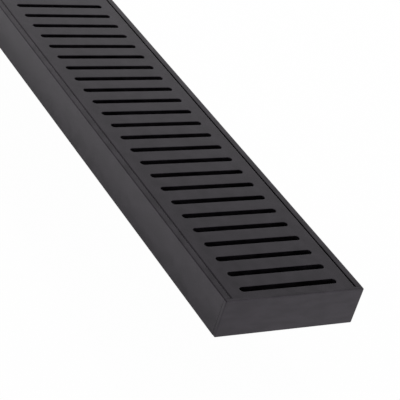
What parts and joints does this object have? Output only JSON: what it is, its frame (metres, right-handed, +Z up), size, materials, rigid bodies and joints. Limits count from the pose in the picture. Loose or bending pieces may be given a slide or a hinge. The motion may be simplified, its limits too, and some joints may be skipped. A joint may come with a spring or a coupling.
{
  "type": "linear floor drain",
  "caption": "Long low black channel drain with a flat slotted grate that drops in, closed end caps and a round outlet tail underneath.",
  "frame": {"origin": "on the outlet's axis, at the foot of the outlet's tail, which is also the middle of the drain's underside", "axes": "+X along the drain, +Y across it, +Z up out of the grate"},
  "size_m": [0.9054, 0.1, 0.0665],
  "materials": {
    "coated_aluminium": "satin",
    "seal_rubber": "matte",
    "outlet_plastic": "satin",
    "screw_steel": "satin"
  },
  "bodies": {
    "root": {"channel": "coated_aluminium", "grate": "coated_aluminium", "end_cap_right": "coated_aluminium", "end_cap_left": "coated_aluminium", "end_seal_right": "seal_rubber", "end_seal_left": "seal_rubber", "outlet_spigot": "outlet_plastic", "outlet_gasket": "seal_rubber", "outlet_screws": "screw_steel"}
  },
  "joints": []
}
